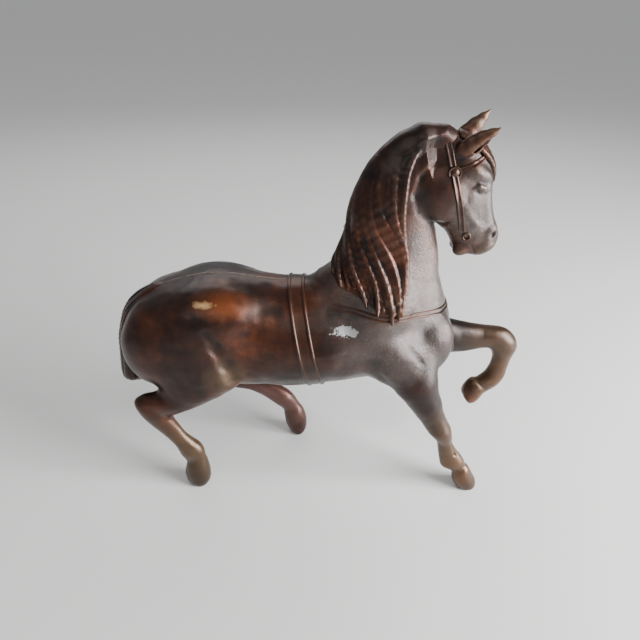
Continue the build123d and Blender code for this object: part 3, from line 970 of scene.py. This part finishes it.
def polygon_field(outline, x, z):
    """Signed distance to a closed outline of the side view, negative inside."""
    best = np.full(np.broadcast_shapes(x.shape, z.shape), 1e9, dtype=np.float32)
    inside = np.zeros(best.shape, dtype=bool)
    for (ax, az), (bx, bz) in zip(outline, outline[1:] + outline[:1]):
        ex, ez = bx - ax, bz - az
        t = np.clip(((x - ax) * ex + (z - az) * ez) / (ex * ex + ez * ez), 0.0, 1.0)
        best = np.minimum(best, (x - ax - t * ex) ** 2 + (z - az - t * ez) ** 2)
        if az != bz:
            crosses = ((az > z) != (bz > z)) & (x < ex * (z - az) / ez + ax)
            inside ^= crosses
    return np.where(inside, -1.0, 1.0) * np.sqrt(best)


MANE_GUIDES = [  # from the withers forward, each from the crest to its tip
    [(18, 220), (16, 207), (12.5, 194), (10, 184), (9, 177)],
    [(20, 232), (18, 216), (17.5, 204), (14.5, 193), (12.5, 182), (14, 171)],
    [(26, 244), (21, 227), (19.5, 210), (19.5, 195), (21.5, 181), (28, 169), (31, 161)],
    [(34, 255), (26, 239), (24, 221), (25, 204), (28, 191), (34, 180), (38, 168), (38, 157)],
    [(43, 264), (32, 248), (28, 231), (28.5, 214), (32.5, 200), (37, 187), (43, 176), (46.5, 163), (47, 152)],
    [(50, 269), (38, 254), (32, 238), (31, 224), (33, 210), (41, 198), (48, 184), (51.5, 170), (51, 155)],
    [(56, 272), (44, 258), (36, 243), (35, 229), (39, 215), (48, 205), (54, 192), (54.5, 176), (53, 158)],
    [(62, 273), (50, 262), (45, 247), (44.5, 232), (45.5, 218), (50, 207), (55, 196), (56.5, 183), (55.5, 170)],
    [(70, 273), (60, 262), (53, 250), (51, 237), (50.5, 222), (51.5, 210), (54.5, 200)],
]
MANE_OUTLINE = [
    (92, 282), (50, 282), (28, 262), (13, 240), (9, 214), (5, 192), (5, 180), (12, 171), (24, 166),
    (31, 163), (39, 158), (47, 157), (53, 162), (57, 174), (56.5, 194), (52.5, 207), (52, 222), (52.5, 238),
    (56, 250), (64, 257), (74, 259), (80, 262), (84, 267),
]
MANE_BETWEEN = 3  # locks from one guide to the next
MANE_POINTS = 22  # points along a lock
SHEET = 2.3  # thickness of the hair under the locks


def add_strand(clay, path, radius, tip, k=0.45):
    """One strand: a chain of rods that swells from its root and thins to its tip."""
    count = len(path)
    radii = []
    for i in range(count):
        t = i / (count - 1)
        radii.append(tip + (radius - tip) * min(1.0, 0.55 + 2.2 * t) * min(1.0, 3.2 * (1 - t)) ** 0.7)
    clay.chain(path, radii, k=k)


def evened(path, rounds=3):
    """A path with the small steps of its surface points averaged out."""
    points = np.array([tuple(point) for point in path])
    for _ in range(rounds):
        points[1:-1] = (points[:-2] + 2 * points[1:-1] + points[2:]) / 4
    return [tuple(point) for point in points]


draw = random.Random(7)  # chance of the forelock and then of the tail

HAIR_SOFTEN = 1.8  # reach of the relief on hair, in millimetres
HAIR_ANGLE = 60.0
LOCK_TIP = 0.6
MANE_CREASE = 1.6  # fillet of the hair sheet's edge, and how far it reaches into the neck
# Strands of one lock: offset across it, radius, height over the lock's middle
LOCK_STRANDS = ((0.0, 2.5, 0.0), (-1.1, 1.2, 0.8), (1.0, 1.1, 0.7))
LOCK_RISE = (1.3, 0.1, 0.7)  # heights of neighbouring locks
ROOT_SINK, ROOT_SHARE = 4.2, 0.46  # a lock starts this deep, and is out after this share of its way


def mane_sheet(clay):
    """The hair under the locks, laid over the neck in the mane's outline."""
    _, ax, ay, az = clay.window((0, -60, 100), (110, 20, 300))
    outline = polygon_field(MANE_OUTLINE, ax, az)
    # Thinner low on the neck, thicker along the crest, and none on the far side
    thick = SHEET - 1.5 * np.clip((225 - az) / 35, 0, 1)
    thick = thick + 1.6 * np.clip((az - 255) / 12, 0, 1) * np.clip((82 - ax) / 16, 0, 1)
    crest = np.clip((az - 236) / 10, 0, 1) * np.clip(1 + outline / 9, 0, 1)
    thick = (thick + 0.5) * np.clip((9 - ay) / 9, 0, 1) * (1 - crest) - 0.5
    sheet = -smooth_min(-(clay.d - thick), -outline, MANE_CREASE)
    return np.maximum(sheet, ay - 10).astype(np.float32)


def mane_lock(clay, side_path, number):
    """One lock down a path of the side view: a thick strand with two thin ones on it."""
    across = np.gradient(side_path, axis=0)
    across = np.stack([across[:, 1], -across[:, 0]], axis=1)
    across /= np.linalg.norm(across, axis=1)[:, None]
    end = MANE_POINTS - (number * 7 % 3)
    for offset, radius, rise in LOCK_STRANDS:
        path = []
        for i in range(end):
            t = i / (end - 1)
            px, pz = side_path[i] + across[i] * offset * (1 - 0.7 * t)
            sunk = ROOT_SINK * max(0.0, 1 - t / ROOT_SHARE) ** 1.3
            path.append(on_right_side(px, pz, LOCK_RISE[number % 3] + rise - sunk))
        add_strand(clay, evened(path), radius, LOCK_TIP, k=1.1)


def between_guides(guides, between):
    """Paths spread evenly over a row of guides, with this many steps from one to the next."""
    for number in range((len(guides) - 1) * between + 1):
        first = min(number // between, len(guides) - 2)
        share = number / between - first
        yield guides[first] * (1 - share) + guides[first + 1] * share


def finish_hair(name, clay, rounds, node):
    """The clay of some hair, smoothed and turned into its piece."""
    work = clay_bmesh(clay, rounds)
    clay.soften(HAIR_SOFTEN)
    finish_piece(name, work, [node], bronze_hair, HAIR_ANGLE, clay)


mane_clay = Clay((2, -50, 146), (92, 12, 282), 0.55)
sculpt_body(mane_clay)
sculpt_head(mane_clay)
body_field = mane_clay.d.copy()
mane_clay.d = mane_sheet(mane_clay)
mane_guides = [resampled(guide, MANE_POINTS) for guide in MANE_GUIDES]
for number, side_path in enumerate(between_guides(mane_guides, MANE_BETWEEN)):
    mane_lock(mane_clay, side_path, number)
mane_clay.d = np.maximum(mane_clay.d, -(body_field + MANE_CREASE)).astype(np.float32)
finish_hair("mane_locks", mane_clay, 3, "mane")


def forehead(x, z, y, rise):
    """A point over the head's front, found along a ray from inside the skull."""
    found = cast_ray(head_surface, (84, y * 0.5, 240), (x - 84, y * 0.5, z - 240))
    return tuple(found[0] + found[1] * rise)


def forelock_guide(y):
    """One guide of the forelock from the poll down the forehead, at y; the middle ones are longest."""
    reach = 1 - abs(y + 1) / 14
    return [
        forehead(84, 272, y * 0.8, 0.6),
        forehead(97, 264, y, 1.3),
        forehead(104, 256, y * 0.9, 1.4),
        forehead(108, 256 - 10 * reach, y * 0.7, 1.0),
        forehead(110, 254 - 18 * reach, y * 0.4 - 1, 0.5),
    ]


lock_clay = Clay((76, -13, 228), (116, 13, 278), 0.45)
lock_guides = [resampled(forelock_guide(y), 12) for y in (-6.5, -3.5, 0, 3.5, 6.5)]
for path in between_guides(lock_guides, 3):
    add_strand(lock_clay, [tuple(point) for point in path], 1.5 * draw.uniform(0.85, 1.15), 0.4, k=0.6)
finish_hair("forelock_hair", lock_clay, 2, "forelock")

TAIL_STRANDS = 15
TAIL_SWEEP = 118  # degrees from the tail's back to its first and last strand
TAIL_SINK = 0.90  # where the strands' middles lie, from the tail's middle to its surface

tail_clay = Clay((-156, -21, 74), (-98, 21, 168), 0.6)
tail_clay.loft(TAIL, k=2)
tail_rows = refine(TAIL, 4)
for number in range(TAIL_STRANDS):
    turn = math.radians(-TAIL_SWEEP + 2 * TAIL_SWEEP * number / (TAIL_STRANDS - 1))
    phase, sway = draw.uniform(0, 6.3), draw.uniform(0.03, 0.08)
    path = []
    for i, row in enumerate(tail_rows[4:-13]):
        rx, rz, fx, fz, width = row[:5]
        angle = turn + sway * math.sin(0.3 * i + phase)
        reach = math.cos(angle) * TAIL_SINK
        px, pz = (rx + fx) / 2 + (rx - fx) / 2 * reach, (rz + fz) / 2 + (rz - fz) / 2 * reach
        path.append((px, width * TAIL_SINK * math.sin(angle), pz))
    add_strand(tail_clay, path, 1.9 + draw.uniform(-0.2, 0.3), 1.4, k=0.9)
finish_hair("tail_hair", tail_clay, 2, "tail")


# ---------------------------------------------------------------- harness and seam


def bead_profile(radius, squash=1.0, sink=0.7):
    """Cross-section of a half-sunk cord: offset across, height."""
    arc = [math.radians(-100 + 200 * i / 8) for i in range(9)]
    rim = [(radius * math.sin(a), radius * squash * math.cos(a)) for a in arc]
    return [(-radius, -sink), *rim, (radius, -sink)]


def both_halves(half):
    """A symmetric cross-section from its left half, which ends on the middle."""
    return half + [(-offset, height) for offset, height in reversed(half[:-1])]


STRAP_PROFILE = both_halves([(-2.0, -0.7), (-2.0, 0.6), (-1.7, 1.0), (-1.3, 1.05), (-0.9, 0.7), (0, 0.6)])
BAND_PROFILE = both_halves([(-4.3, -0.6), (-4.3, 0.35), (-2.0, 0.5), (0, 0.55)])
BROW_PROFILE = [(offset * 0.75, height * 0.9) for offset, height in STRAP_PROFILE]
ROSETTE_PROFILE = [  # radius, height
    (0.05, -1.5), (4.1, -1.5), (4.2, 0.9), (3.8, 1.4), (3.2, 1.3),
    (2.7, 1.1), (2.0, 1.7), (1.0, 2.1), (0.05, 2.2),
]
RING_RADIUS, RING_WIRE, RING_RISE = 2.3, 0.8, 0.4

# Where each belt's plane cuts the side view (two points x, z), and the middle it is drawn from
GIRTH = (((-17.5, 185), (4.5, 75)), (-10, 132))
CHEEK = (((74, 275), (94, 204)), (83, 237.5))
BROW = (((80.8, 246.2), (103, 256)), (88, 249.4))
BREAST = (((-8, 159.8), (90, 150.5)), (45, 154.8))
ALL_ROUND = (0, 360)


def strip_piece(name, rows, closed, node, material=bronze_strap):
    """A closed mesh through equal cross-sections."""
    width = len(rows[0])
    points = [point for row in rows for point in row]
    faces = []
    for i in range(len(rows) if closed else len(rows) - 1):
        j = (i + 1) % len(rows)
        for k in range(width):
            m = (k + 1) % width
            faces.append((i * width + k, i * width + m, j * width + m, j * width + k))
    if not closed:
        faces.append(tuple(range(width)))
        faces.append(tuple(range((len(rows) - 1) * width, len(rows) * width)))
    work = bmesh.new()
    work.from_mesh(mesh_from(name, points, faces))
    bmesh.ops.recalc_face_normals(work, faces=work.faces)
    return finish_piece(name, work, [node], material)


def belt(name, tree, course, profile, angles, count, node, shift=0.0):
    """A strap round the horse in a plane across the side view, from one angle to another."""
    ((x0, z0), (x1, z1)), centre = course
    along = Vector((x1 - x0, 0, z1 - z0)).normalized()
    across = Vector((along.z, 0, -along.x))
    start, end = (math.radians(angle) for angle in angles)
    closed = angles == ALL_ROUND
    rows = []
    for i in range(count):
        turn = start + (end - start) * i / (count if closed else count - 1)
        out = along * math.cos(turn) + Vector((0, math.sin(turn), 0))
        row = []
        for offset, height in profile:
            origin = Vector((centre[0], 0, centre[1])) + across * (offset + shift)
            hit, _ = cast_ray(tree, origin, out)
            row.append(hit + out * height)
        rows.append(row)
    strip_piece(name, rows, closed, node)


def turned(name, centre, profile, count, node):
    """A lathe-turned fitting about an axis across the horse; its profile is (radius, y) pairs."""
    rows = []
    for i in range(count):
        turn = 2 * math.pi * i / count
        c, s = math.cos(turn), math.sin(turn)
        rows.append([Vector((centre[0] + r * c, y, centre[1] + r * s)) for r, y in profile])
    strip_piece(name, rows, True, node)


belt("girth_web", surface, GIRTH, BAND_PROFILE, ALL_ROUND, 160, "girth_band")
for name, shift in (("front", -4.6), ("rear", 4.6)):
    cord, node = f"girth_cord_{name}", f"girth_{name}_cord"
    belt(cord, surface, GIRTH, bead_profile(1.3), ALL_ROUND, 160, node, shift)
for name, shift in (("upper", 1.3), ("lower", -1.3)):
    cord, node = f"breast_line_{name}", f"breast_cord_{name}"
    belt(cord, surface, BREAST, bead_profile(0.75), (-147, 147), 150, node, shift)
for side, sign in (("right", -1), ("left", 1)):
    angles = (15.5 * sign, 179.5 * sign)
    belt(f"cheek_{side}", head_surface, CHEEK, STRAP_PROFILE, angles, 60, f"cheek_strap_{side}")
belt("browband_strap", head_surface, BROW, BROW_PROFILE, (-119, 119), 60, "browband")

for side, sign in (("right", -1), ("left", 1)):
    # Rosette where the cheek strap meets the browband, ring where it meets the bit
    hit, _ = cast_ray(head_surface, (80.8, 0, 246.2), (0, sign, 0))
    dome = [(r, hit.y + height * sign) for r, height in ROSETTE_PROFILE]
    turned(f"rosette_dome_{side}", (80.8, 246.2), dome, 36, f"rosette_{side}")
    hit, _ = cast_ray(head_surface, (94, 0, 203.5), (0, sign, 0))
    turns = [math.radians(30 * i) for i in range(12)]
    middle = hit.y + RING_RISE * sign
    wire = [(RING_RADIUS + RING_WIRE * math.cos(a), middle + RING_WIRE * math.sin(a)) for a in turns]
    turned(f"bit_ring_{side}_wire", (94.8, 203.2), wire, 40, f"bit_ring_{side}")

SEAM_FROM, SEAM_LENGTH, SEAM_ROWS = -119, 96, 90
seam_rows = []
for i in range(SEAM_ROWS):
    x = SEAM_FROM + SEAM_LENGTH * i / (SEAM_ROWS - 1)
    row = []
    for offset, height in bead_profile(0.8, 0.35, 0.5):
        hit, _ = cast_ray(surface, (x, offset, 230), (0, 0, -1))
        row.append(hit + Vector((0, 0, height)))
    seam_rows.append(row)
strip_piece("seam_bead", seam_rows, False, "spine_seam", solder)


# ---------------------------------------------------------------- floor, light and camera

FLOOR_HALF = 60  # metres

# Name, place, target, width and height in metres, watts, colour
SOFT_LIGHTS = [
    ("window", (0.86, -0.34, 0.37), (0.05, 0, 0.17), (0.55, 0.66), 34, (0.97, 0.98, 1.0)),
    ("room", (-0.3, -0.9, 1.0), (0, 0, 0.12), (1.0, 0.6), 3, (1.0, 0.96, 0.9)),
    ("back", (-0.1, 0.9, 0.9), (0, 0, 0.15), (1.4, 0.5), 5, (1, 1, 1)),
]
SKY_FROM, SKY_SPREAD, SKY_STRENGTH = (0.75, -0.25, 0.75), 35, 0.8
STUDIO_TONE, STUDIO_STRENGTH = (0.80, 0.82, 0.86), 0.40

CAMERA_PLACE = (SHIFT_X, -350.7, 344.0)
CAMERA_LENS = 31.5
PITCH, ROLL = math.radians(31.0), math.radians(0.6)


floor_mesh = bpy.data.meshes.new("floor")
corners = [(sx * FLOOR_HALF, sy * FLOOR_HALF, 0) for sx, sy in ((-1, -1), (1, -1), (1, 1), (-1, 1))]
floor_mesh.from_pydata(corners, [], [(0, 1, 2, 3)])
floor_mesh.materials.append(floor_paint())
floor = new_object("floor", floor_mesh)

world = bpy.data.worlds.new("studio")
world.use_nodes = True
background = world.node_tree.nodes["Background"]
background.inputs["Color"].default_value = (*STUDIO_TONE, 1)
background.inputs["Strength"].default_value = STUDIO_STRENGTH
bpy.context.scene.world = world

for name, place, target, size, power, colour in SOFT_LIGHTS:
    light = bpy.data.lights.new(name, "AREA")
    light.shape = "RECTANGLE"
    light.size, light.size_y = size
    light.energy = power
    light.color = colour
    lamp = new_object(name, light)
    lamp.location = place
    lamp.rotation_euler = (Vector(target) - Vector(place)).to_track_quat("-Z", "Y").to_euler()

sky = bpy.data.lights.new("sky", "SUN")
sky.energy = SKY_STRENGTH
sky.angle = math.radians(SKY_SPREAD)
new_object("sky", sky).rotation_euler = Vector(SKY_FROM).to_track_quat("Z", "Y").to_euler()

ahead = Vector((0, math.cos(PITCH), -math.sin(PITCH)))
right = Vector((1, 0, 0))
above = right.cross(ahead)
rolled_right = right * math.cos(ROLL) + above * math.sin(ROLL)
rolled_above = above * math.cos(ROLL) - right * math.sin(ROLL)
camera_data = bpy.data.cameras.new("camera")
camera_data.lens = CAMERA_LENS
camera_data.sensor_width = 36.0
camera_data.clip_start = 0.01
camera = new_object("camera", camera_data)
basis = Matrix((rolled_right, rolled_above, -ahead)).transposed().to_4x4()
camera.matrix_world = Matrix.Translation(Vector(CAMERA_PLACE) * MM) @ basis
bpy.context.scene.camera = camera
